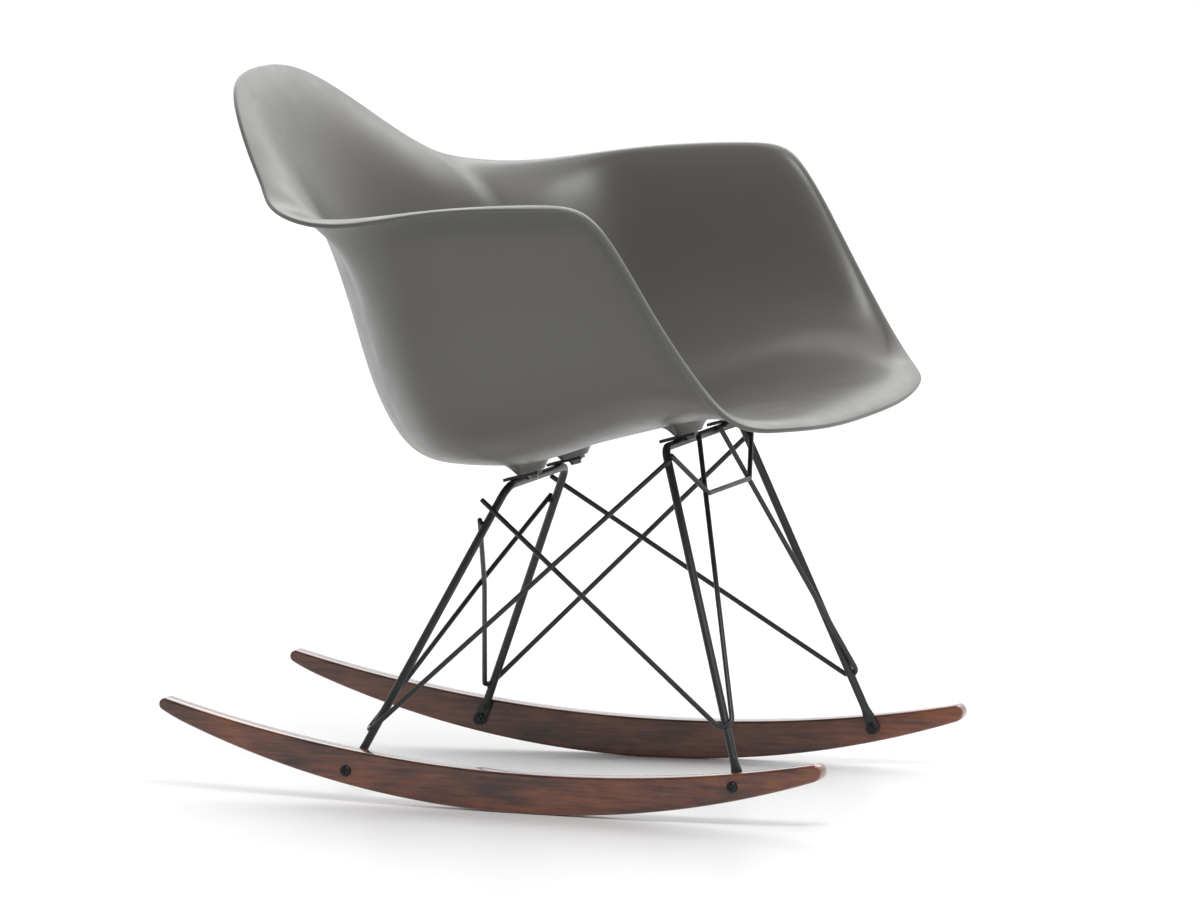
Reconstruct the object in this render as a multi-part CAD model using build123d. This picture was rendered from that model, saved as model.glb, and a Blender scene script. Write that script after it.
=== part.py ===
from build123d import *
import os
from math import atan2, degrees, hypot

import numpy as np

# Rocking armchair: a moulded plastic bowl seat on a welded wire base with two wooden rockers.
# Millimetres, +Z up, the sitter looks towards -Y, the sitter's left is +X.
# The chair stands balanced on its rockers; the floor is z = 0.

# ---------------------------------------------------------------- driving dimensions
SHELL_WALL = 5.0  # thickness of the moulded seat
SECTION_STEPS = 12  # curve points from the middle of the seat to the rim
SEAM_REACH = 0.012
GATE_RADIUS = 14.0  # round moulding gate in the middle of the seat

ROCKER_THICKNESS = 20.0
ROCKER_HALF_TRACK = 195.0  # from the middle of the chair to a rocker's middle plane at y = 0
ROCKER_TOE_OUT = 0.053  # the rockers spread towards the front by this slope
ROCKER_SOLE_RADIUS = 965.0
ROCKER_CONTACT_Y = -38.8  # where the sole touches the floor
ROCKER_FRONT_Y = -346.0
ROCKER_REAR_Y = 346.0

ROD = 4.0  # radius of the leg rods
WIRE = 2.5  # radius of the bracing wires
REAR_BEND = 20.0
FRONT_BEND = 13.0
WIRE_BEND = 7.0
LOOP_BEND = 9.0

EYE_THICKNESS = 4.0
EYE_WIDTH = 13.0
EYE_REACH = 13.0  # from the screw hole to the point where the round rod begins
REAR_SCREW = (147.0, 31.4)  # y, z of the rocker screws
FRONT_SCREW = (-255.8, 38.7)

REAR_CORNER = (83.9, 22.1, 300.2)  # where leg and cross bar of each leg frame meet
FRONT_CORNER = (110.2, -148.5, 347.9)

DECK_TILT = 15.6  # degrees, the seat mounting deck rises towards the front
DECK_POINT = (0.0, 6.0, 311.9)  # a point on top of the mounting plates
PLATE = (15.0, 37.0, 3.0)
BOSS_BOTTOM = 14.0
BOSS_TOP = 25.0
BOSS_HEIGHT = 15.0
REAR_BOSS = (61.7, 6.0)
FRONT_BOSS = (69.0, -158.0)
REAR_PLATE_Y = 15.5
FRONT_PLATE_Y = -147.5

MOUNT_SCREW = 3.0  # radius
MOUNT_HEAD = 5.5
ROCKER_SCREW = 3.0
ROCKER_HEAD = 5.4
CLEARANCE = 0.1

# ---------------------------------------------------------------- seat surface
# Upper surface of the seat as ribs that run from the middle of the seat out to the rim,
# from the middle of the back round the right hand half to the middle of the front edge.
# Each rib names: seat, seat edge, bend, low wall, high wall, shoulder, crest, rim.
SEAT_MIDDLE = (0, 10, 325.5)
RIBS = [
    # middle of the back
    [(0, 60, 318.5), (0, 108, 318), (0, 142, 334), (0, 175, 400),
     (0, 196, 478), (0, 231, 575), (0, 285, 668), (0, 312, 690.5)],
    # back, beside the middle
    [(22, 58, 318.5), (45, 105, 320), (62, 135, 337), (75, 163, 400),
     (82, 181, 478), (88, 215, 572), (93, 269, 652), (97, 298, 677)],
    # falling shoulder of the back
    [(40, 50, 319.5), (85, 91, 323), (117, 112, 342), (142, 131, 402),
     (155, 144, 473), (163, 166, 549), (167, 219, 603), (174, 254, 627.5)],
    [(47, 44, 320.5), (100, 83, 325), (140, 99, 344.5), (172, 113, 402.5),
     (188, 124, 468), (197, 140, 537), (204, 189, 584.5), (213, 226, 598)],
    # rear corner
    [(52, 38, 321), (112, 74, 326), (162, 86, 347), (200, 94, 403),
     (218, 102, 462), (228, 114, 522), (238, 155, 572.5), (255, 195, 580)],
    # arm: rear end, middle, front part
    [(60, 22, 323.5), (128, 40, 328), (195, 48, 345), (243, 50, 400),
     (262, 52, 460), (272, 56, 525), (285, 80, 589), (308.5, 115, 574)],
    [(60, 0, 327), (130, -8, 332), (202, -12, 348), (252, -14, 405),
     (273, -12, 470), (283, -8, 545), (294, 6, 597.5), (314, 11, 590.5)],
    [(60, -25, 335.5), (130, -60, 346), (205, -75, 365), (256, -80, 420),
     (275, -82, 490), (283, -84, 560), (293, -90, 605), (311, -92, 597)],
    # front of the arm, going down
    [(58, -45, 342), (126, -95, 359), (205, -120, 378), (257, -130, 425),
     (274, -134, 485), (281, -137, 545), (288, -149, 583), (301.5, -144, 583)],
    [(55, -65, 348), (120, -130, 370), (200, -165, 388), (250, -177, 418),
     (268, -184, 455), (275, -190, 487), (283, -197, 506), (293, -196, 504)],
    [(50, -80, 352.5), (112, -160, 377), (185, -200, 390), (232, -220, 403),
     (252, -231, 417), (262, -238, 428), (272, -244, 432), (281, -243, 429.5)],
    # front corner
    [(42, -90, 355.5), (95, -180, 380), (160, -225, 390), (205, -247, 394),
     (227, -258, 397), (238, -265, 399), (250, -272, 396.5), (258, -278, 393)],
    # front edge
    [(30, -97, 357), (70, -190, 381), (125, -240, 388), (165, -268, 390),
     (185, -281, 391), (195, -289, 390.5), (201, -297, 388), (205, -303, 383)],
    [(16, -101, 357), (36, -195, 381), (66, -247, 388), (90, -280, 388.5),
     (100, -295, 387), (105, -304, 385), (108, -312, 382), (110, -318, 377)],
    [(0, -102, 357), (0, -197, 380.5), (0, -250, 388), (0, -284, 387.5),
     (0, -298, 385.5), (0, -307, 383), (0, -315, 380), (0, -320, 374.5)],
]


def spline_weights(t):
    """The four weights of a uniform cubic B-spline."""
    return [
        (1 - t) ** 3 / 6,
        (3 * t**3 - 6 * t**2 + 4) / 6,
        (-3 * t**3 + 3 * t**2 + 3 * t + 1) / 6,
        t**3 / 6,
    ]


def closed_ribs():
    """All ribs of both halves, as spline coefficients of a closed loop through them."""
    right = np.array(RIBS, float)
    left = right[-2:0:-1] * [-1, 1, 1]
    ribs = np.concatenate([right, left])
    count = len(ribs)
    matrix = 4 * np.eye(count) + np.roll(np.eye(count), 1, 1) + np.roll(np.eye(count), -1, 1)
    return np.linalg.solve(matrix, 6 * ribs.reshape(count, -1)).reshape(ribs.shape)


RIB_LOOP = closed_ribs()


def seat_point(reach, station):
    """Point of the seat's upper surface; reach 0 is the middle of the seat, 1 is the rim."""
    first = int(np.floor(station))
    weights = spline_weights(station - first)
    rib = sum(w * RIB_LOOP[(first + k - 1) % len(RIB_LOOP)] for k, w in enumerate(weights))
    rib = np.vstack([SEAT_MIDDLE, rib])
    rib = np.vstack([2 * rib[0] - rib[1], rib, 2 * rib[-1] - rib[-2]])
    along = min(max(reach, 0.0), 1.0) * (len(rib) - 3)
    start = min(int(along), len(rib) - 4)
    return sum(w * rib[start + k] for k, w in enumerate(spline_weights(along - start)))


def seat_normal(reach, station):
    """Unit normal of the seat's upper surface, pointing to the sitter."""
    if reach < 0.02:
        return np.array([0.0, 0.22, 0.975])
    step = 0.001
    outwards = seat_point(reach, station) - seat_point(reach - step, station)
    around = seat_point(reach, station + step) - seat_point(reach, station - step)
    normal = np.cross(around, outwards)
    return normal / np.linalg.norm(normal)


def seat_face(depth, extent, count):
    """Patch of the seat surface around its middle, at a depth below the upper surface."""
    half_loop = len(RIB_LOOP) / 2
    rows = []
    for row in np.linspace(-extent, extent, count):
        points = []
        for column in np.linspace(-extent, extent, count):
            across = row * np.sqrt(1 - column**2 / 2)
            back = column * np.sqrt(1 - row**2 / 2)
            station = (atan2(across, back) / np.pi * half_loop) % (2 * half_loop)
            reach = hypot(across, back)
            points.append(to_vector(seat_point(reach, station) - depth * seat_normal(reach, station)))
        rows.append(points)
    return Face.make_surface_from_array_of_points(rows, tol=0.05, min_deg=3, max_deg=3)


def to_vector(point):
    return Vector(*(float(value) for value in point))


def seat_section(station):
    """Closed outline of the moulding's wall, from beside the middle of the seat to the rim."""
    reaches = [SEAM_REACH] + [step / SECTION_STEPS for step in range(1, SECTION_STEPS + 1)]
    upper = [to_vector(seat_point(reach, station)) for reach in reaches]
    lower = [to_vector(seat_point(reach, station) - SHELL_WALL * seat_normal(reach, station))
             for reach in reaches]
    spacing = [step / SECTION_STEPS for step in range(SECTION_STEPS + 1)]
    return Wire([
        Edge.make_spline(upper, parameters=spacing),
        Edge.make_line(upper[-1], lower[-1]),
        Edge.make_spline(lower, parameters=spacing),
        Edge.make_line(lower[0], upper[0]),
    ])


def deck_plane(x, y):
    """Plane on top of the mounting plates, centred at x and y, its Z square to the deck."""
    tilted = Plane(origin=DECK_POINT, x_dir=(1, 0, 0), z_dir=(0, 0, 1)).rotated((-DECK_TILT, 0, 0))
    rise = -(y - DECK_POINT[1]) * tilted.z_dir.Y / tilted.z_dir.Z
    return Plane(origin=(x, y, DECK_POINT[2] + rise), x_dir=(1, 0, 0), z_dir=tilted.z_dir)


def make_shell():
    stations = np.linspace(0, len(RIBS) - 1, 2 * len(RIBS) - 1)
    half = Solid.make_loft([seat_section(float(station)) for station in stations])
    shell = Part() + half + half.mirror(Plane.YZ)
    middle = Plane(origin=SEAT_MIDDLE, z_dir=to_vector(seat_normal(0, 0)))
    shell = shell + middle * Pos(0, 0, -SHELL_WALL / 2) * Cylinder(GATE_RADIUS, SHELL_WALL + 0.4)
    roof = extrude(seat_face(SHELL_WALL / 2, 0.62, 15), amount=80, dir=(0, 0, 1))
    for x, y in (REAR_BOSS, FRONT_BOSS):
        plane = deck_plane(x, y)
        boss = Pos(0, 0, BOSS_HEIGHT) * Cone(BOSS_BOTTOM, BOSS_TOP * 2 - BOSS_BOTTOM, 2 * BOSS_HEIGHT)
        boss = plane * (boss - Cylinder(MOUNT_SCREW + CLEARANCE, 22)) - roof
        shell = shell + boss + mirror(boss, about=Plane.YZ)
    return shell


# ---------------------------------------------------------------- rockers
# Side plane of a rocker: x runs rearwards along it, y up, z outwards.
ROCKER_PLANE = Plane(origin=(ROCKER_HALF_TRACK, 0, 0), x_dir=(-ROCKER_TOE_OUT, 1, 0),
                     z_dir=(1, ROCKER_TOE_OUT, 0))


def sole_z(y):
    return ROCKER_SOLE_RADIUS - (ROCKER_SOLE_RADIUS**2 - (y - ROCKER_CONTACT_Y) ** 2) ** 0.5


def make_rocker():
    front_heel = (ROCKER_FRONT_Y + 6, sole_z(ROCKER_FRONT_Y + 6))
    rear_heel = (ROCKER_REAR_Y - 30, sole_z(ROCKER_REAR_Y - 30))
    rear_tip = (ROCKER_REAR_Y - 3.8, 80.2)
    with BuildSketch(ROCKER_PLANE) as side:
        with BuildLine():
            ThreePointArc(front_heel, (ROCKER_CONTACT_Y, 0), rear_heel)
            ThreePointArc(rear_heel, (ROCKER_REAR_Y - 16.7, 73.4), rear_tip)
            ThreePointArc(rear_tip, (ROCKER_REAR_Y - 1.4, 88.0), (ROCKER_REAR_Y - 9, 91))
            ThreePointArc((ROCKER_REAR_Y - 9, 91), (0, 39.7), (ROCKER_FRONT_Y + 6, 64.5))
            ThreePointArc((ROCKER_FRONT_Y + 6, 64.5), (ROCKER_FRONT_Y, 56), front_heel)
        make_face()
    rocker = extrude(side.sketch, amount=ROCKER_THICKNESS / 2, both=True)
    for y, z in (REAR_SCREW, FRONT_SCREW):
        rocker -= ROCKER_PLANE * Pos(y, z, 0) * Cylinder(ROCKER_SCREW + CLEARANCE, 60)
    return rocker


def rocker_screw(place):
    """Round head machine screw with a cross recess, through the rocker and the leg's eye."""
    face = ROCKER_THICKNESS / 2
    length = ROCKER_THICKNESS + EYE_THICKNESS + 7
    shank = Pos(0, 0, face - length / 2) * Cylinder(ROCKER_SCREW, length)
    head = Pos(0, 0, face) * Cylinder(ROCKER_HEAD, 3.2, align=(Align.CENTER, Align.CENTER, Align.MIN))
    head = fillet(head.edges().sort_by(Axis.Z)[-1], 2.2)
    recess = Box(6.0, 1.2, 2.4) + Box(1.2, 6.0, 2.4)
    screw = shank + head - Pos(0, 0, face + 3.2) * recess
    return ROCKER_PLANE * Pos(*place, 0) * screw


def rocker_nut(place):
    inner = -ROCKER_THICKNESS / 2 - EYE_THICKNESS
    nut = extrude(RegularPolygon(5.0, 6, major_radius=False), amount=-5)
    nut = chamfer(nut.edges().group_by(Axis.Z)[0], 0.5)
    nut -= Cylinder(ROCKER_SCREW, 20)
    return ROCKER_PLANE * Pos(place[0], place[1], inner) * nut


# ---------------------------------------------------------------- wire base
def mirrored(point):
    return (-point[0], point[1], point[2])


def rod(points, radius, bends):
    path = FilletPolyline(*points, radius=bends)
    section = Plane(origin=path @ 0, z_dir=path % 0) * Circle(radius)
    return sweep(section, path=path)


def eye_plane(place):
    """Middle plane of a leg's flattened eye, at the screw."""
    plane = ROCKER_PLANE.offset(-ROCKER_THICKNESS / 2 - EYE_THICKNESS / 2)
    return Plane(origin=plane.from_local_coords((place[0], place[1], 0)), x_dir=plane.x_dir, z_dir=plane.z_dir)


def leg_frame(place, corner, bend):
    """One bent rod: eye, leg, cross bar, leg, eye."""
    plane = eye_plane(place)
    up = plane.to_local_coords(Vector(*corner))
    lean = atan2(up.Y, up.X)
    reach = hypot(up.X, up.Y)
    foot = plane.from_local_coords((up.X / reach * EYE_REACH, up.Y / reach * EYE_REACH, 0))
    foot = (foot.X, foot.Y, foot.Z)
    frame = rod([foot, corner, mirrored(corner), mirrored(foot)], ROD, [bend, bend])
    eye = Rot(0, 0, degrees(lean)) * Pos(EYE_REACH / 2, 0, 0) * SlotCenterToCenter(EYE_REACH, EYE_WIDTH)
    eye = extrude(eye, amount=EYE_THICKNESS / 2, both=True) - Cylinder(ROCKER_SCREW + CLEARANCE, 20)
    eye = plane * eye
    frame = frame + eye + mirror(eye, about=Plane.YZ)
    wood = ROCKER_PLANE * Box(900, 300, ROCKER_THICKNESS)
    return frame - wood - mirror(wood, about=Plane.YZ)


SIDE_BRACE = [(97.5, 44.0, 287.5), (196.0, -250.0, 78.0), (30.0, -154.6, 352.5)]
CROSS_BRACE = [(120.4, -157.0, 337.5), (171.0, 139.8, 61.0), (0.0, 79.3, 191.0), (-101.4, 44.4, 268.6)]
CROSS_GAP = 2.6  # the two cross braces pass each other, touching, in the middle plane
HANGER = [(118.2, -157.2, 342.0), (59.6, -175.4, 298.8)]


def cross_brace(side):
    """Brace from a front leg down to the rear leg's foot and across to the other rear leg."""
    points = [list(point) for point in CROSS_BRACE]
    points[2][1] += side * CROSS_GAP * 0.91
    points[2][2] += side * CROSS_GAP * 0.415
    return rod([tuple(point) for point in points], WIRE, [WIRE_BEND, 80])


# ---------------------------------------------------------------- seat mounts
def mount_plate(boss, plate_y):
    plane = deck_plane(boss[0], plate_y)
    plate = Pos(0, 0, -PLATE[2] / 2) * Box(*PLATE)
    plate = fillet(plate.edges().filter_by(Axis.Z), 2)
    plate = plane * plate
    return plate - deck_plane(*boss) * Cylinder(MOUNT_SCREW + CLEARANCE, 20)


def mount_screw(boss):
    """Hexagon socket screw with a washer face, entered from below through the plate."""
    under = -PLATE[2]
    shank = Pos(0, 0, under + 5.25) * Cylinder(MOUNT_SCREW, 10.5)
    washer = Pos(0, 0, under - 0.6) * Cylinder(MOUNT_HEAD + 1.2, 1.2)
    head = Pos(0, 0, under - 1.2) * Cylinder(MOUNT_HEAD, 3.2, align=(Align.CENTER, Align.CENTER, Align.MAX))
    head = fillet(head.edges().sort_by(Axis.Z)[0], 1.0)
    socket = Pos(0, 0, under - 4.4) * extrude(RegularPolygon(2.0, 6, major_radius=False), amount=2.2)
    return deck_plane(*boss) * (shank + washer + head - socket)


# ---------------------------------------------------------------- assembly
def build():
    parts = {}
    parts["seat_shell"] = make_shell()

    rear_frame = leg_frame(REAR_SCREW, REAR_CORNER, REAR_BEND)
    front_frame = leg_frame(FRONT_SCREW, FRONT_CORNER, FRONT_BEND)
    parts["rear_leg_frame"] = rear_frame
    parts["front_leg_frame"] = front_frame

    side = rod(SIDE_BRACE, WIRE, [LOOP_BEND]) - rear_frame - front_frame
    near_cross = cross_brace(-1) - rear_frame - front_frame
    far_cross = mirror(cross_brace(1), about=Plane.YZ) - rear_frame - front_frame
    corners = [HANGER[0], HANGER[1], mirrored(HANGER[1]), mirrored(HANGER[0])]
    hanger = rod(corners, WIRE, [WIRE_BEND, WIRE_BEND]) - front_frame
    hanger = hanger - side - mirror(side, about=Plane.YZ)
    parts["side_brace_left"] = side
    parts["side_brace_right"] = mirror(side, about=Plane.YZ)
    parts["cross_brace_left"] = near_cross
    parts["cross_brace_right"] = far_cross
    parts["front_hanger"] = hanger

    rocker = make_rocker()
    parts["rocker_left"] = rocker
    for name, place in (("rear", REAR_SCREW), ("front", FRONT_SCREW)):
        parts[f"rocker_screw_{name}_left"] = rocker_screw(place)
        parts[f"rocker_nut_{name}_left"] = rocker_nut(place)
    for name, boss, plate_y in (("rear", REAR_BOSS, REAR_PLATE_Y), ("front", FRONT_BOSS, FRONT_PLATE_Y)):
        parts[f"mount_plate_{name}_left"] = mount_plate(boss, plate_y) - rear_frame - front_frame
        parts[f"mount_screw_{name}_left"] = mount_screw(boss)
    for name in list(parts):
        if name.endswith("_left") and "brace" not in name:
            parts[name.replace("_left", "_right")] = mirror(parts[name], about=Plane.YZ)
    return parts


os.makedirs("parts", exist_ok=True)
for part_name, part in build().items():
    export_step(part, f"parts/{part_name}.step")
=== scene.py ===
from math import atan2, cos, hypot, pi, radians, sin

import bpy
import numpy as np
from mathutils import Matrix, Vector


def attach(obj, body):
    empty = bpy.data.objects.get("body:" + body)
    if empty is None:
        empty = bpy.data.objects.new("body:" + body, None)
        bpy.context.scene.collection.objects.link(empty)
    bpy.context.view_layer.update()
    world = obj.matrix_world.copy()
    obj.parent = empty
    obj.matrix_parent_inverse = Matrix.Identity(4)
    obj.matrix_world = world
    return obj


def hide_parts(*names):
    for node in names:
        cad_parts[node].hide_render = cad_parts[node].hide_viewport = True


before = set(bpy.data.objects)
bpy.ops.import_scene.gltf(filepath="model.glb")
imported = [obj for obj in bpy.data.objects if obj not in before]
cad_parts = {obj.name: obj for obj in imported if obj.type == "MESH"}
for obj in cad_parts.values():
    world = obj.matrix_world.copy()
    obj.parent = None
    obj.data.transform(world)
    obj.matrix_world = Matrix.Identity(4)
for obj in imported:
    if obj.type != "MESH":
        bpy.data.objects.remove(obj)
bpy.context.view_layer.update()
np.random.seed(7)

MM = 0.001

# ---------------------------------------------------------------- sizes, in millimetres
SHELL_WALL = 5.0
STEPS_PER_RIB = 9
SEAT_MIDDLE = (0, 10, 325.5)
RIBS = [
    # middle of the back
    [(0, 60, 318.5), (0, 108, 318), (0, 142, 334), (0, 175, 400),
     (0, 196, 478), (0, 231, 575), (0, 285, 668), (0, 312, 690.5)],
    # back, beside the middle
    [(22, 58, 318.5), (45, 105, 320), (62, 135, 337), (75, 163, 400),
     (82, 181, 478), (88, 215, 572), (93, 269, 652), (97, 298, 677)],
    # falling shoulder of the back
    [(40, 50, 319.5), (85, 91, 323), (117, 112, 342), (142, 131, 402),
     (155, 144, 473), (163, 166, 549), (167, 219, 603), (174, 254, 627.5)],
    [(47, 44, 320.5), (100, 83, 325), (140, 99, 344.5), (172, 113, 402.5),
     (188, 124, 468), (197, 140, 537), (204, 189, 584.5), (213, 226, 598)],
    # rear corner
    [(52, 38, 321), (112, 74, 326), (162, 86, 347), (200, 94, 403),
     (218, 102, 462), (228, 114, 522), (238, 155, 572.5), (255, 195, 580)],
    # arm: rear end, middle, front part
    [(60, 22, 323.5), (128, 40, 328), (195, 48, 345), (243, 50, 400),
     (262, 52, 460), (272, 56, 525), (285, 80, 589), (308.5, 115, 574)],
    [(60, 0, 327), (130, -8, 332), (202, -12, 348), (252, -14, 405),
     (273, -12, 470), (283, -8, 545), (294, 6, 597.5), (314, 11, 590.5)],
    [(60, -25, 335.5), (130, -60, 346), (205, -75, 365), (256, -80, 420),
     (275, -82, 490), (283, -84, 560), (293, -90, 605), (311, -92, 597)],
    # front of the arm, going down
    [(58, -45, 342), (126, -95, 359), (205, -120, 378), (257, -130, 425),
     (274, -134, 485), (281, -137, 545), (288, -149, 583), (301.5, -144, 583)],
    [(55, -65, 348), (120, -130, 370), (200, -165, 388), (250, -177, 418),
     (268, -184, 455), (275, -190, 487), (283, -197, 506), (293, -196, 504)],
    [(50, -80, 352.5), (112, -160, 377), (185, -200, 390), (232, -220, 403),
     (252, -231, 417), (262, -238, 428), (272, -244, 432), (281, -243, 429.5)],
    # front corner
    [(42, -90, 355.5), (95, -180, 380), (160, -225, 390), (205, -247, 394),
     (227, -258, 397), (238, -265, 399), (250, -272, 396.5), (258, -278, 393)],
    # front edge
    [(30, -97, 357), (70, -190, 381), (125, -240, 388), (165, -268, 390),
     (185, -281, 391), (195, -289, 390.5), (201, -297, 388), (205, -303, 383)],
    [(16, -101, 357), (36, -195, 381), (66, -247, 388), (90, -280, 388.5),
     (100, -295, 387), (105, -304, 385), (108, -312, 382), (110, -318, 377)],
    [(0, -102, 357), (0, -197, 380.5), (0, -250, 388), (0, -284, 387.5),
     (0, -298, 385.5), (0, -307, 383), (0, -315, 380), (0, -320, 374.5)],
]


def spline_weights(t):
    """The four weights of a uniform cubic B-spline."""
    return [
        (1 - t) ** 3 / 6,
        (3 * t**3 - 6 * t**2 + 4) / 6,
        (-3 * t**3 + 3 * t**2 + 3 * t + 1) / 6,
        t**3 / 6,
    ]


def closed_ribs():
    """All ribs of both halves, as spline coefficients of a closed loop through them."""
    right = np.array(RIBS, float)
    left = right[-2:0:-1] * [-1, 1, 1]
    ribs = np.concatenate([right, left])
    count = len(ribs)
    matrix = 4 * np.eye(count) + np.roll(np.eye(count), 1, 1) + np.roll(np.eye(count), -1, 1)
    return np.linalg.solve(matrix, 6 * ribs.reshape(count, -1)).reshape(ribs.shape)


RIB_LOOP = closed_ribs()


def seat_point(reach, station):
    """Point of the seat's upper surface; reach 0 is the middle of the seat, 1 is the rim."""
    first = int(np.floor(station))
    weights = spline_weights(station - first)
    rib = sum(w * RIB_LOOP[(first + k - 1) % len(RIB_LOOP)] for k, w in enumerate(weights))
    rib = np.vstack([SEAT_MIDDLE, rib])
    rib = np.vstack([2 * rib[0] - rib[1], rib, 2 * rib[-1] - rib[-2]])
    along = min(max(reach, 0.0), 1.0) * (len(rib) - 3)
    start = min(int(along), len(rib) - 4)
    return sum(w * rib[start + k] for k, w in enumerate(spline_weights(along - start)))


def seat_normal(reach, station):
    """Unit normal of the seat's upper surface, pointing to the sitter."""
    if reach < 0.02:
        return np.array([0.0, 0.22, 0.975])
    step = 0.001
    outwards = seat_point(reach, station) - seat_point(reach - step, station)
    around = seat_point(reach, station + step) - seat_point(reach, station - step)
    normal = np.cross(around, outwards)
    return normal / np.linalg.norm(normal)


ROCKER_THICKNESS = 20.0
ROCKER_HALF_TRACK = 195.0
ROCKER_TOE_OUT = 0.053
SOLE_RADIUS = 965.0
CONTACT_Y = -38.8
ROCKER_END = 346.0
ROCKER_EDGE = 2.2
HEEL = 30.0  # from the rear end to where the sole turns up into the tail
TOE = 6.0  # from the front end to where the nose begins
TAIL = 9.0  # from the rear end to where the tail meets the top

ROD = 4.0
WIRE = 2.5
REAR_BEND = 20.0
FRONT_BEND = 13.0
FOOT_BEND = 12.0
LOOP_BEND = 9.0
WIRE_BEND = 7.0
CROSS_BEND = 80.0
CROSS_GAP = 2.6  # each crossing brace keeps this far from the middle plane of the two
CROSS_NORMAL = (0.91, 0.415)  # y and z of the direction across that plane
EYE_THICKNESS = 4.0
EYE_REACH = 13.0
PRESSED_LENGTH = 23.0
PRESS_FADE = 11.0
WELD_RADIUS = 3.0
REAR_SCREW = (147.0, 31.4)
FRONT_SCREW = (-255.8, 38.7)
REAR_CORNER = (83.9, 22.1, 300.2)
FRONT_CORNER = (110.2, -148.5, 347.9)
SIDE_BRACE = [(97.5, 44.0, 287.5), (196.0, -250.0, 78.0), (30.0, -154.6, 352.5)]
CROSS_BRACE = [(120.4, -157.0, 337.5), (171.0, 139.8, 61.0), (0.0, 79.3, 191.0), (-101.4, 44.4, 268.6)]
HANGER = [(118.2, -157.2, 342.0), (59.6, -175.4, 298.8)]
DECK_TILT = radians(15.6)
DECK_POINT = (0.0, 6.0, 311.9)
BOSSES = [(61.7, 6.0), (69.0, -158.0)]
BOSS_FOOT = 14.3
BOSS_FLARE = 0.74  # growth of the boss's radius per height
BOSS_RIM = 1.1  # height at which the cone begins


# ---------------------------------------------------------------- mesh helpers
def mesh_object(name, points, faces, material, smooth=True):
    """New object from points in millimetres."""
    mesh = bpy.data.meshes.new(name)
    mesh.from_pydata([tuple(float(v) * MM for v in p) for p in points], [], faces)
    mesh.validate()
    mesh.update()
    mesh.polygons.foreach_set("use_smooth", [smooth] * len(mesh.polygons))
    piece = bpy.data.objects.new(name, mesh)
    bpy.context.scene.collection.objects.link(piece)
    piece.data.materials.append(material)
    return piece


def ring_faces(rings, count, close_ends=True):
    """Faces between rings of count points each, with a flat cap at either end if asked."""
    faces = []
    for r in range(rings - 1):
        for k in range(count):
            nxt = (k + 1) % count
            faces.append((r * count + k, r * count + nxt, (r + 1) * count + nxt, (r + 1) * count + k))
    if close_ends:
        faces.append(tuple(range(count - 1, -1, -1)))
        faces.append(tuple((rings - 1) * count + k for k in range(count)))
    return faces


def unit(vector):
    vector = np.asarray(vector, float)
    return vector / np.linalg.norm(vector)


def mirrored(point):
    return (-point[0], point[1], point[2])


def bent_path(points, bends, step=6.0):
    """Polyline through the points with its corners rounded to the given radii."""
    points = [np.asarray(p, float) for p in points]
    path = [points[0]]
    for k in range(1, len(points) - 1):
        before, after = unit(points[k - 1] - points[k]), unit(points[k + 1] - points[k])
        half = np.arccos(np.clip(before @ after, -1, 1)) / 2
        reach = bends[k - 1] / np.tan(half)
        centre = points[k] + unit(before + after) * bends[k - 1] / np.sin(half)
        start, end = points[k] + before * reach, points[k] + after * reach
        sweep = pi - 2 * half
        u, w = unit(start - centre), unit(end - centre)
        for t in np.linspace(0, 1, 13):
            path.append(centre + bends[k - 1] * (np.sin((1 - t) * sweep) * u + np.sin(t * sweep) * w)
                        / np.sin(sweep))
    path.append(points[-1])
    fine = [path[0]]
    for p in path[1:]:
        gap = np.linalg.norm(p - fine[-1])
        start = fine[-1]
        pieces = max(1, int(gap / step))
        fine += [start + (p - start) * (j + 1) / pieces for j in range(pieces)]
    return np.array(fine)


def tube(name, points, bends, radius, material, flatten=None, sides=20):
    """Round rod along a bent path, its ends slightly rounded. flatten(point, offset) may reshape it."""
    path = bent_path(points, bends)
    direction = [unit(path[min(i + 1, len(path) - 1)] - path[max(i - 1, 0)]) for i in range(len(path))]
    side = unit(np.cross(direction[0], [0.13, 0.21, 0.97]))
    verts, rings = [], 0
    for i, centre in enumerate(path):
        side = unit(side - (side @ direction[i]) * direction[i])
        other = np.cross(direction[i], side)
        stops = [(0.0, 1.0)]
        if i == 0:
            stops = [(0.0, 0.70), (0.25, 0.90), (0.8, 1.0)]
        if i == len(path) - 1:
            stops = [(-0.8, 1.0), (-0.25, 0.90), (0.0, 0.70)]
        for shift, scale in stops:
            for k in range(sides):
                a = 2 * pi * k / sides
                offset = radius * scale * (cos(a) * side + sin(a) * other)
                base = centre + direction[i] * shift
                if flatten:
                    offset = flatten(base, offset)
                verts.append(base + offset)
            rings += 1
    return mesh_object(name, verts, ring_faces(rings, sides), material)


def join(name, pieces):
    """Joins meshes into the first of them."""
    bpy.ops.object.select_all(action="DESELECT")
    for piece in pieces:
        piece.select_set(True)
    bpy.context.view_layer.objects.active = pieces[0]
    bpy.ops.object.join()
    pieces[0].name = name
    return pieces[0]


def stands_for(piece, node):
    """Makes a mesh ride on the chair's one body in place of a CAD node."""
    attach(piece, "root")
    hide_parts(node)


# ---------------------------------------------------------------- materials
def new_material(name):
    """Empty material with its node tree, its shader and the object coordinates."""
    material = bpy.data.materials.new(name)
    material.use_nodes = True
    tree = material.node_tree
    shader = tree.nodes["Principled BSDF"]
    place = tree.nodes.new("ShaderNodeTexCoord")
    return material, tree, shader, place.outputs["Object"]


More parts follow.
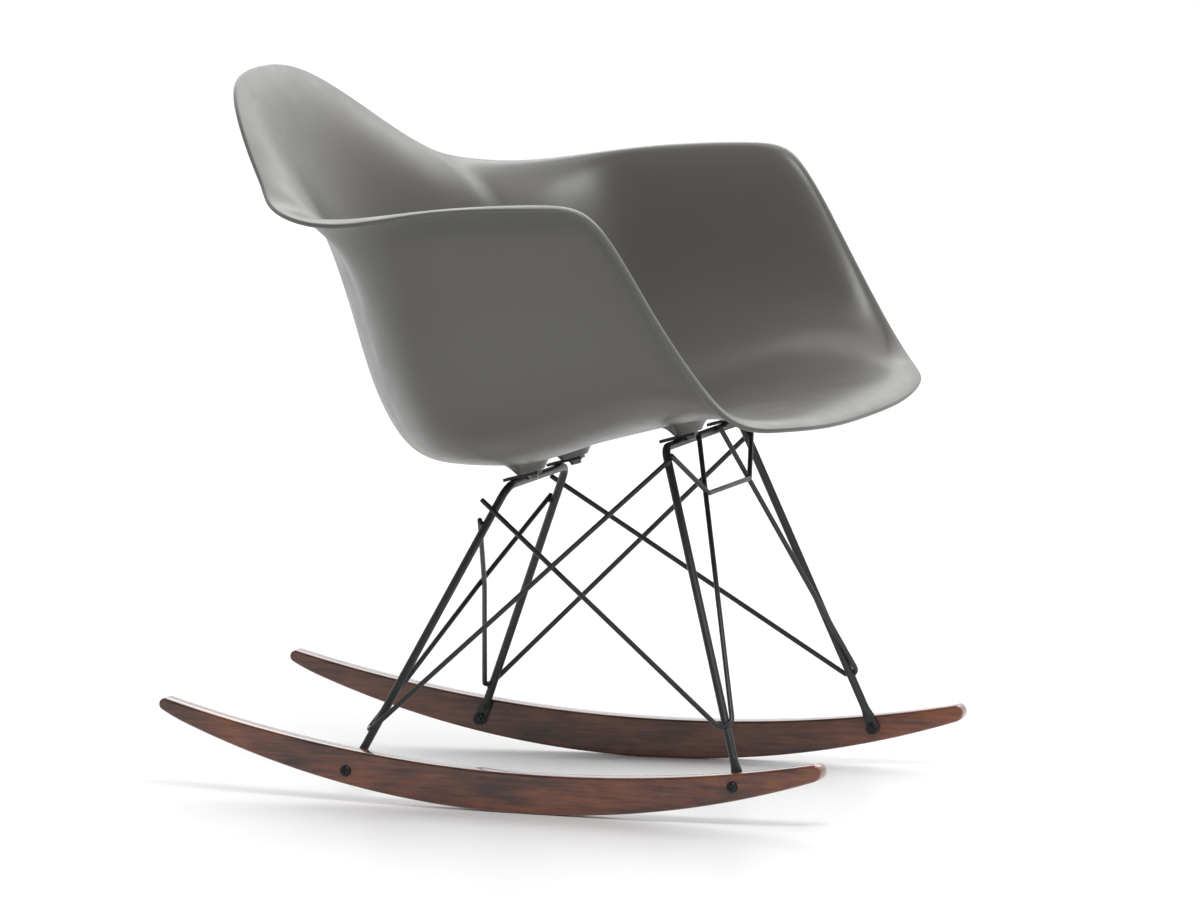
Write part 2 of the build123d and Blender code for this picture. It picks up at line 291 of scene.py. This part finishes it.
def noise(tree, where, scale, detail=3.0, stretch=None, rough=0.5):
    """Noise value at a place; stretch scales the axes before the noise is read."""
    if stretch:
        mapping = tree.nodes.new("ShaderNodeMapping")
        mapping.inputs["Scale"].default_value = stretch
        tree.links.new(where, mapping.inputs["Vector"])
        where = mapping.outputs["Vector"]
    texture = tree.nodes.new("ShaderNodeTexNoise")
    texture.inputs["Scale"].default_value = scale
    texture.inputs["Detail"].default_value = detail
    texture.inputs["Roughness"].default_value = rough
    tree.links.new(where, texture.inputs["Vector"])
    return texture.outputs["Fac"]


def ramp(tree, value, stops):
    """Colour from a value, through stops of position and colour."""
    node = tree.nodes.new("ShaderNodeValToRGB")
    while len(node.color_ramp.elements) < len(stops):
        node.color_ramp.elements.new(0.5)
    for element, (position, colour) in zip(node.color_ramp.elements, stops):
        element.position = position
        element.color = (*colour, 1)
    tree.links.new(value, node.inputs["Fac"])
    return node.outputs["Color"]


def spread(tree, value, low, high, to_low, to_high):
    """A value's range mapped to another range."""
    node = tree.nodes.new("ShaderNodeMapRange")
    for socket, number in zip(("From Min", "From Max", "To Min", "To Max"), (low, high, to_low, to_high)):
        node.inputs[socket].default_value = number
    tree.links.new(value, node.inputs["Value"])
    return node.outputs["Result"]


def bump(tree, shader, height, distance, strength=1.0, under=None):
    """Bump from a height, on top of another bump if one is given."""
    node = tree.nodes.new("ShaderNodeBump")
    node.inputs["Distance"].default_value = distance
    node.inputs["Strength"].default_value = strength
    tree.links.new(height, node.inputs["Height"])
    if under:
        tree.links.new(under, node.inputs["Normal"])
    tree.links.new(node.outputs["Normal"], shader.inputs["Normal"])
    return node.outputs["Normal"]


def plastic():
    material, tree, shader, where = new_material("shell_plastic")
    cloud = noise(tree, where, 3.2, 2.0)
    colour = ramp(tree, cloud, [(0.3, (0.097, 0.094, 0.087)), (0.7, (0.105, 0.102, 0.095))])
    tree.links.new(colour, shader.inputs["Base Color"])
    wear = noise(tree, where, 38.0, 4.0)
    tree.links.new(spread(tree, wear, 0.3, 0.7, 0.30, 0.37), shader.inputs["Roughness"])
    shader.inputs["IOR"].default_value = 1.49
    shader.inputs["Specular IOR Level"].default_value = 0.5
    grain = noise(tree, where, 900.0, 2.0)
    first = bump(tree, shader, grain, 0.00012, 0.6)
    flow = noise(tree, where, 9.0, 1.0)
    bump(tree, shader, flow, 0.0006, 0.18, first)
    return material


def powder_coat():
    material, tree, shader, where = new_material("black_wire")
    fleck = noise(tree, where, 160.0, 3.0)
    colour = ramp(tree, fleck, [(0.3, (0.017, 0.017, 0.018)), (0.75, (0.026, 0.026, 0.027))])
    tree.links.new(colour, shader.inputs["Base Color"])
    tree.links.new(spread(tree, fleck, 0.3, 0.7, 0.30, 0.42), shader.inputs["Roughness"])
    shader.inputs["IOR"].default_value = 1.5
    bump(tree, shader, noise(tree, where, 1100.0, 2.0), 0.00008, 0.6)
    return material


def black_metal():
    material, tree, shader, where = new_material("black_fasteners")
    fleck = noise(tree, where, 300.0, 3.0)
    colour = ramp(tree, fleck, [(0.3, (0.010, 0.010, 0.011)), (0.75, (0.022, 0.022, 0.023))])
    tree.links.new(colour, shader.inputs["Base Color"])
    shader.inputs["Metallic"].default_value = 0.35
    tree.links.new(spread(tree, fleck, 0.3, 0.7, 0.22, 0.36), shader.inputs["Roughness"])
    bump(tree, shader, fleck, 0.00006, 0.5)
    return material


def bright_steel():
    material, tree, shader, where = new_material("bright_screws")
    scratch = noise(tree, where, 500.0, 4.0, (1, 1, 6))
    colour = ramp(tree, scratch, [(0.3, (0.16, 0.155, 0.15)), (0.7, (0.36, 0.35, 0.34))])
    tree.links.new(colour, shader.inputs["Base Color"])
    shader.inputs["Metallic"].default_value = 1.0
    tree.links.new(spread(tree, scratch, 0.3, 0.7, 0.22, 0.40), shader.inputs["Roughness"])
    return material


def stained_wood():
    """Dark walnut stain over close-grained wood: long fibres, pores and darker clouds, thin lacquer."""
    material, tree, shader, where = new_material("stained_wood")
    fibre = noise(tree, where, 1.0, 6.0, (300, 14, 300), 0.7)
    cloud = noise(tree, where, 1.0, 4.0, (22, 13, 30), 0.55)
    mix = tree.nodes.new("ShaderNodeMath")
    mix.operation = "ADD"
    half = tree.nodes.new("ShaderNodeMath")
    half.operation = "MULTIPLY"
    half.inputs[1].default_value = 0.5
    tree.links.new(fibre, mix.inputs[0])
    tree.links.new(cloud, mix.inputs[1])
    tree.links.new(mix.outputs[0], half.inputs[0])
    colour = ramp(tree, half.outputs[0], [
        (0.36, (0.018, 0.006, 0.004)),
        (0.45, (0.066, 0.017, 0.008)),
        (0.53, (0.135, 0.036, 0.014)),
        (0.64, (0.215, 0.066, 0.024)),
    ])
    tree.links.new(colour, shader.inputs["Base Color"])
    tree.links.new(spread(tree, fibre, 0.3, 0.7, 0.40, 0.28), shader.inputs["Roughness"])
    shader.inputs["Coat Weight"].default_value = 0.9
    shader.inputs["Coat Roughness"].default_value = 0.07
    pores = noise(tree, where, 1.0, 4.0, (520, 22, 520), 0.7)
    bump(tree, shader, pores, 0.00025, 0.35)
    return material


PLASTIC = plastic()
WIRE_BLACK = powder_coat()
FASTENER = black_metal()
STEEL = bright_steel()
WOOD = stained_wood()


# ---------------------------------------------------------------- seat shell
def deck_axes(x, y):
    """Point on top of the mounting plates at x, y, and the deck's normal."""
    normal = np.array([0.0, sin(DECK_TILT), cos(DECK_TILT)])
    z = DECK_POINT[2] - (y - DECK_POINT[1]) * normal[1] / normal[2]
    return np.array([x, y, z]), normal


def make_shell():
    """Upper surface, rounded lip and lower surface as one closed skin, joined with the four bosses."""
    ribs = len(RIB_LOOP)
    around = ribs * STEPS_PER_RIB
    reaches = np.concatenate([np.linspace(0.015, 0.86, 54), np.linspace(0.87, 1.0, 22)])
    lower_floor = []
    stations = np.linspace(0, ribs, around, endpoint=False)
    columns = []
    for station in stations:
        step = np.linalg.norm(seat_point(1.0, station) - seat_point(0.99, station)) / 0.01
        limit = 1 - SHELL_WALL / 2 / step
        upper = [seat_point(r * limit, station) for r in reaches]
        normals = [seat_normal(max(r * limit, 0.03), station) for r in reaches]
        lower = [p - SHELL_WALL * n for p, n in zip(upper, normals)]
        middle = upper[-1] - SHELL_WALL / 2 * normals[-1]
        outwards = unit(upper[-1] - upper[-2])
        lip = [middle + SHELL_WALL / 2 * (cos(a) * normals[-1] + sin(a) * outwards)
               for a in np.linspace(0, pi, 9)[1:-1]]
        columns.append(upper + lip + lower[::-1])
        lower_floor += lower[:40]
    rows = len(columns[0])
    grid = np.array(columns).transpose(1, 0, 2).reshape(-1, 3)
    faces = ring_faces(rows, around, close_ends=False)
    top = np.array(SEAT_MIDDLE, float)
    grid = np.vstack([grid, top, top - SHELL_WALL * seat_normal(0, 0)])
    tip = len(grid) - 2
    for k in range(around):
        nxt = (k + 1) % around
        faces.append((tip, nxt, k))
        faces.append((tip + 1, (rows - 1) * around + k, (rows - 1) * around + nxt))
    shell = mesh_object("shell", grid, faces, PLASTIC)
    floor = np.array(lower_floor)
    pieces = [shell]
    for x, y in BOSSES:
        for side in (1, -1):
            pieces.append(make_boss(side * x, y, floor))
    shell = join("shell", pieces)
    bpy.ops.object.mode_set(mode="EDIT")
    bpy.ops.mesh.select_all(action="SELECT")
    bpy.ops.mesh.normals_make_consistent(inside=False)
    bpy.ops.object.mode_set(mode="OBJECT")
    return shell


def make_boss(x, y, floor):
    """Tapered foot moulded under the seat, flat below, blending into the underside above."""
    base, normal = deck_axes(x, y)
    across = np.array([1.0, 0, 0])
    along = np.cross(normal, across)
    profile = [(3.3, 4.0), (3.3, 0.3), (4.0, 0.0), (12.6, 0.0), (13.6, 0.3), (BOSS_FOOT, BOSS_RIM)]
    sides = 64
    verts = []
    rows = 0
    for radius, height in profile:
        for k in range(sides):
            a = 2 * pi * k / sides
            verts.append(base + radius * (cos(a) * across + sin(a) * along) + height * normal)
        rows += 1
    flare = np.linspace(0, 1, 9)[1:]
    columns = []
    for k in range(sides):
        a = 2 * pi * k / sides
        direction = cos(a) * across + sin(a) * along
        height = 12.0
        for _ in range(12):
            spot = base + (BOSS_FOOT + BOSS_FLARE * height) * direction + height * normal
            near = floor[np.argsort(np.hypot(floor[:, 0] - spot[0], floor[:, 1] - spot[1]))[:4]]
            height += 0.7 * (near[:, 2].mean() - spot[2])
        column = []
        for t in flare:
            h = BOSS_RIM + (height + 0.8 - BOSS_RIM) * t
            radius = BOSS_FOOT + BOSS_FLARE * (h - BOSS_RIM) + 2.6 * t**5
            column.append(base + radius * direction + h * normal)
        columns.append(column)
    for j in range(len(flare)):
        verts += [columns[k][j] for k in range(sides)]
        rows += 1
    return mesh_object("boss", verts, ring_faces(rows, sides, close_ends=False), PLASTIC)


shell = make_shell()
stands_for(shell, "seat_shell")


# ---------------------------------------------------------------- rockers
ROCKER_OUT = unit((1, ROCKER_TOE_OUT, 0))
ROCKER_BACK = unit((-ROCKER_TOE_OUT, 1, 0))
EYE_PLANE = -(ROCKER_THICKNESS + EYE_THICKNESS) / 2


def on_rocker(along, height, out):
    """Point of the left rocker's side view, given along it, up, and outwards from its middle plane."""
    return np.array([ROCKER_HALF_TRACK, 0, 0]) + along * ROCKER_BACK + out * ROCKER_OUT + [0, 0, height]


def arc(first, middle, last, count):
    """Points of the circle arc through three points of the rocker's side view."""
    (ax, ay), (bx, by), (cx, cy) = first, middle, last
    d = 2 * (ax * (by - cy) + bx * (cy - ay) + cx * (ay - by))
    ux = ((ax**2 + ay**2) * (by - cy) + (bx**2 + by**2) * (cy - ay) + (cx**2 + cy**2) * (ay - by)) / d
    uy = ((ax**2 + ay**2) * (cx - bx) + (bx**2 + by**2) * (ax - cx) + (cx**2 + cy**2) * (bx - ax)) / d
    radius = hypot(ax - ux, ay - uy)
    angles = [atan2(py - uy, px - ux) for px, py in (first, middle, last)]
    for k in (1, 2):
        while angles[k] - angles[k - 1] > pi:
            angles[k] -= 2 * pi
        while angles[k] - angles[k - 1] < -pi:
            angles[k] += 2 * pi
    steps = np.linspace(angles[0], angles[2], count)
    return [(ux + radius * cos(a), uy + radius * sin(a)) for a in steps]


def sole_z(y):
    """Height of the sole's arc at y."""
    return SOLE_RADIUS - (SOLE_RADIUS**2 - (y - CONTACT_Y) ** 2) ** 0.5


def make_rocker(side):
    """Curved rocker with rounded long edges: sole, tail, top and nose are arcs."""
    front, rear = -ROCKER_END + TOE, ROCKER_END - HEEL
    tip = (ROCKER_END - 3.8, 80.2)
    outline = arc((front, sole_z(front)), (CONTACT_Y, 0), (rear, sole_z(rear)), 90)[:-1]
    outline += arc((rear, sole_z(rear)), (ROCKER_END - 16.7, 73.4), tip, 8)[:-1]
    outline += arc(tip, (ROCKER_END - 1.4, 88.0), (ROCKER_END - TAIL, 91), 14)[:-1]
    outline += arc((ROCKER_END - TAIL, 91), (0, 39.7), (front, 64.5), 90)[:-1]
    outline += arc((front, 64.5), (-ROCKER_END, 56), (front, sole_z(front)), 12)[:-1]
    outline = np.array(outline)
    inward = np.roll(outline, -1, 0) - np.roll(outline, 1, 0)
    inward = np.stack([-inward[:, 1], inward[:, 0]], 1)
    inward /= np.linalg.norm(inward, axis=1)[:, None]
    verts, rings = [], 0
    half = ROCKER_THICKNESS / 2
    rounding = [(ROCKER_EDGE * (1 - cos(a)), half - ROCKER_EDGE * (1 - sin(a)))
                for a in np.linspace(pi / 2, 0, 5)]
    stops = [(depth, out) for depth, out in rounding] + [(depth, -out) for depth, out in rounding[::-1]]
    for depth, out in stops:
        for (y, z), n in zip(outline, inward):
            point = on_rocker(y + n[0] * depth, z + n[1] * depth, out)
            verts.append(point * [side, 1, 1])
        rings += 1
    rocker = mesh_object("rocker", verts, ring_faces(rings, len(outline)), WOOD)
    for polygon in rocker.data.polygons:
        if len(polygon.vertices) > 4:
            polygon.use_smooth = False
    return rocker


for side, node in ((1, "rocker_left"), (-1, "rocker_right")):
    stands_for(make_rocker(side), node)


# ---------------------------------------------------------------- wire base
def make_leg_frame(name, screw, corner, bend):
    """One bent rod whose ends are pressed flat against the rockers."""
    eye = on_rocker(*screw, EYE_PLANE)
    up = np.array(corner) - eye
    up = unit(up - (up @ ROCKER_OUT) * ROCKER_OUT)
    foot = eye + EYE_REACH * up

    def flatten(point, offset):
        sign = 1 if point[0] > 0 else -1
        n = ROCKER_OUT * [sign, 1, 1]
        far = np.linalg.norm(point - eye * [sign, 1, 1])
        t = np.clip((PRESSED_LENGTH - far) / PRESS_FADE, 0, 1)
        t = t * t * (3 - 2 * t)
        through = (offset @ n) * n
        return through * (1 - 0.5 * t) + (offset - through) * (1 + 0.45 * t)

    ends = [tuple(eye), tuple(foot)]
    points = ends + [corner, mirrored(corner)] + [mirrored(p) for p in ends[::-1]]
    pieces = [tube(name, points, [FOOT_BEND, bend, bend, FOOT_BEND], ROD, WIRE_BLACK, flatten, 24)]
    for side in (1, -1):
        verts, rings = [], 0
        across = np.cross(ROCKER_OUT, up)
        for radius, depth in ((5.6, -2.0), (6.3, -1.4), (6.4, 0), (6.3, 1.4), (5.6, 2.0)):
            for k in range(32):
                a = 2 * pi * k / 32
                point = eye + radius * (cos(a) * up + sin(a) * across) + depth * ROCKER_OUT
                verts.append(point * [side, 1, 1])
            rings += 1
        pieces.append(mesh_object("eye", verts, ring_faces(rings, 32), WIRE_BLACK))
    return join(name, pieces)


def cross_brace(side):
    """Points of one crossing brace; side 1 starts on the left front leg, -1 on the right one."""
    points = [list(p) for p in CROSS_BRACE]
    points[2][1] -= side * CROSS_GAP * CROSS_NORMAL[0]
    points[2][2] -= side * CROSS_GAP * CROSS_NORMAL[1]
    return [(side * p[0], p[1], p[2]) for p in points]


def touching(first, second):
    """The two nearest points of two paths."""
    def fine(path):
        path = np.asarray(path, float)
        return np.vstack([p + (q - p) * np.linspace(0, 1, 9)[:, None] for p, q in zip(path[:-1], path[1:])])

    first, second = fine(first), fine(second)
    gaps = np.linalg.norm(first[:, None] - second[None], axis=2)
    i, j = np.unravel_index(gaps.argmin(), gaps.shape)
    return first[i], second[j]


def weld(wire, rod):
    """Small uneven bead of weld metal where two paths come closest."""
    near, far = touching(wire, rod)
    middle = (near + far) / 2
    verts, rings = [], 0
    for j in range(1, 8):
        b = pi * j / 8
        for k in range(12):
            a = 2 * pi * k / 12
            ripple = 1 + 0.08 * np.random.rand()
            verts.append(middle + WELD_RADIUS * ripple * np.array([sin(b) * cos(a), sin(b) * sin(a), cos(b)]))
        rings += 1
    return mesh_object("weld", verts, ring_faces(rings, 12), WIRE_BLACK)


def leg_path(eye, corner, bend):
    """Path of a whole leg frame from the left eye over the top to the right eye."""
    return bent_path([eye, corner, mirrored(corner), mirrored(eye)], [bend, bend])


def half_of(path, side):
    """The part of a path on one side of the chair."""
    return path[path[:, 0] * side > 0]


rear_eye = tuple(on_rocker(*REAR_SCREW, EYE_PLANE))
front_eye = tuple(on_rocker(*FRONT_SCREW, EYE_PLANE))
rear_legs = make_leg_frame("rear_legs", REAR_SCREW, REAR_CORNER, REAR_BEND)
stands_for(rear_legs, "rear_leg_frame")
front_legs = make_leg_frame("front_legs", FRONT_SCREW, FRONT_CORNER, FRONT_BEND)
stands_for(front_legs, "front_leg_frame")

rear_path = leg_path(rear_eye, REAR_CORNER, REAR_BEND)
front_path = leg_path(front_eye, FRONT_CORNER, FRONT_BEND)

for side, word in ((1, "left"), (-1, "right")):
    rear_leg, front_leg = half_of(rear_path, side), half_of(front_path, side)
    brace = [(side * p[0], p[1], p[2]) for p in SIDE_BRACE]
    wire = bent_path(brace, [LOOP_BEND])
    half = len(wire) // 2
    pieces = [tube("side_brace", brace, [LOOP_BEND], WIRE, WIRE_BLACK, sides=16)]
    pieces.append(weld(wire[:8], rear_leg))
    pieces.append(weld(wire[half // 2:-12], front_leg))
    pieces.append(weld(wire[-8:], front_path))
    stands_for(join("side_brace_" + word, pieces), "side_brace_" + word)

    brace = cross_brace(side)
    wire = bent_path(brace, [WIRE_BEND, CROSS_BEND])
    pieces = [tube("cross_brace", brace, [WIRE_BEND, CROSS_BEND], WIRE, WIRE_BLACK, sides=16)]
    pieces.append(weld(wire[:8], front_leg))
    pieces.append(weld(wire, rear_leg))
    pieces.append(weld(wire[-8:], half_of(rear_path, -side)))
    stands_for(join("cross_brace_" + word, pieces), "cross_brace_" + word)

hanger = [HANGER[0], HANGER[1], mirrored(HANGER[1]), mirrored(HANGER[0])]
hanger = tube("hanger", hanger, [WIRE_BEND, WIRE_BEND], WIRE, WIRE_BLACK, sides=16)
stands_for(hanger, "front_hanger")


# ---------------------------------------------------------------- CAD pieces that stay as they are
def finish_of(name):
    """Material of a CAD piece that is shown as it is."""
    if name.startswith("mount_screw"):
        return STEEL
    if name.startswith("rocker_screw") or name.startswith("rocker_nut"):
        return FASTENER
    return WIRE_BLACK


for name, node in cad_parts.items():
    if name.startswith(("mount_", "rocker_screw", "rocker_nut")):
        node.data.materials.clear()
        node.data.materials.append(finish_of(name))


# ---------------------------------------------------------------- floor, light and camera
FLOOR_REACH = 4800


def studio():
    """Pale floor, and a surround that is white behind the chair and darker behind the camera."""
    material, tree, shader, where = new_material("studio_floor")
    colour = ramp(tree, noise(tree, where, 0.6, 2.0), [(0.3, (0.90, 0.90, 0.90)), (0.7, (0.93, 0.93, 0.93))])
    tree.links.new(colour, shader.inputs["Base Color"])
    shader.inputs["Roughness"].default_value = 0.32
    shader.inputs["Specular IOR Level"].default_value = 0.35
    corners = [(x * FLOOR_REACH, y * FLOOR_REACH, 0) for x, y in ((-1, -1), (1, -1), (1, 1), (-1, 1))]
    floor = mesh_object("floor", corners, [(0, 1, 2, 3)], material, smooth=False)

    world = bpy.data.worlds.new("studio")
    bpy.context.scene.world = world
    world.use_nodes = True
    tree = world.node_tree
    background = tree.nodes["Background"]
    place = tree.nodes.new("ShaderNodeTexCoord")
    towards = tree.nodes.new("ShaderNodeVectorMath")
    towards.operation = "DOT_PRODUCT"
    towards.inputs[1].default_value = (0.941, 0.338, 0.0)
    tree.links.new(place.outputs["Generated"], towards.inputs[0])
    paper = ramp(tree, spread(tree, towards.outputs["Value"], -1, 1, 0, 1), [
        (0.35, (0.20, 0.20, 0.203)),
        (0.60, (0.34, 0.34, 0.34)),
        (0.90, (1.0, 1.0, 1.0)),
    ])
    tree.links.new(paper, background.inputs["Color"])
    background.inputs["Strength"].default_value = 1.05


def soft_light(name, place, target, size, power):
    """Rectangular lamp at a place, aimed at a target; metres and watts."""
    light = bpy.data.lights.new(name, "AREA")
    light.shape = "RECTANGLE"
    light.size, light.size_y = size
    light.energy = power
    lamp = bpy.data.objects.new(name, light)
    lamp.location = place
    lamp.rotation_euler = (Vector(target) - Vector(place)).to_track_quat("-Z", "Y").to_euler()
    bpy.context.scene.collection.objects.link(lamp)


studio()
soft_light("overhead", (0.2, -0.2, 2.4), (0, 0, 0.3), (2.2, 1.4), 20)
soft_light("front", (-0.7, -2.6, 1.3), (0, 0, 0.4), (0.8, 1.6), 9)
soft_light("camera_side", (-2.0, -1.2, 2.9), (0, 0, 0.5), (1.8, 1.0), 62)
soft_light("back_left", (-1.9, 1.9, 1.5), (0, 0, 0.4), (0.9, 1.4), 3)
soft_light("floor_wash", (4.2, 1.6, 2.8), (4.2, 1.6, 0), (5.0, 7.0), 210)

CAMERA_AZIMUTH = radians(-70.24)
CAMERA_ELEVATION = radians(7.24)
CAMERA_DISTANCE = 14.781
LOOK_AT = Vector((0, -0.04259, 0.32796))
camera_data = bpy.data.cameras.new("camera")
camera_data.lens = 457.0
camera_data.sensor_width = 36.0
camera_data.clip_end = 100
camera = bpy.data.objects.new("camera", camera_data)
back = Vector((
    sin(CAMERA_AZIMUTH) * cos(CAMERA_ELEVATION),
    -cos(CAMERA_AZIMUTH) * cos(CAMERA_ELEVATION),
    sin(CAMERA_ELEVATION),
))
camera.location = LOOK_AT + back * CAMERA_DISTANCE
camera.rotation_euler = back.to_track_quat("Z", "Y").to_euler()
bpy.context.scene.collection.objects.link(camera)
bpy.context.scene.camera = camera
bpy.context.scene.view_settings.view_transform = "Standard"
